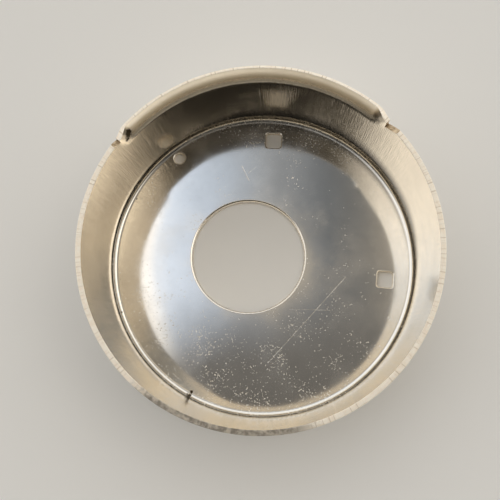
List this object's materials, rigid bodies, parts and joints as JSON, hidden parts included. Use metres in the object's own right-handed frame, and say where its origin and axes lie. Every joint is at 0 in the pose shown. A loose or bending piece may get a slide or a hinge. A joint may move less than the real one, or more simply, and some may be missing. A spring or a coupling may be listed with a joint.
{
  "type": "deep drawn metal cup",
  "caption": "Shallow round drawn-steel cup with a large off-centre bore and small pierced holes in its flat base, and a flared lip along part of its rim.",
  "frame": {"origin": "on the axis of the drawn wall, at the underside of the flat base", "axes": "+Z along the wall's axis, up and out of the mouth; +Y towards the middle of the flared lip; +X to the right, on the side of the lone square hole"},
  "size_m": [0.102, 0.1041, 0.038],
  "materials": {
    "drawn_steel": "bright, as drawn, with a near-mirror base"
  },
  "bodies": {
    "root": {"drawn_cup": "drawn_steel"}
  },
  "joints": []
}
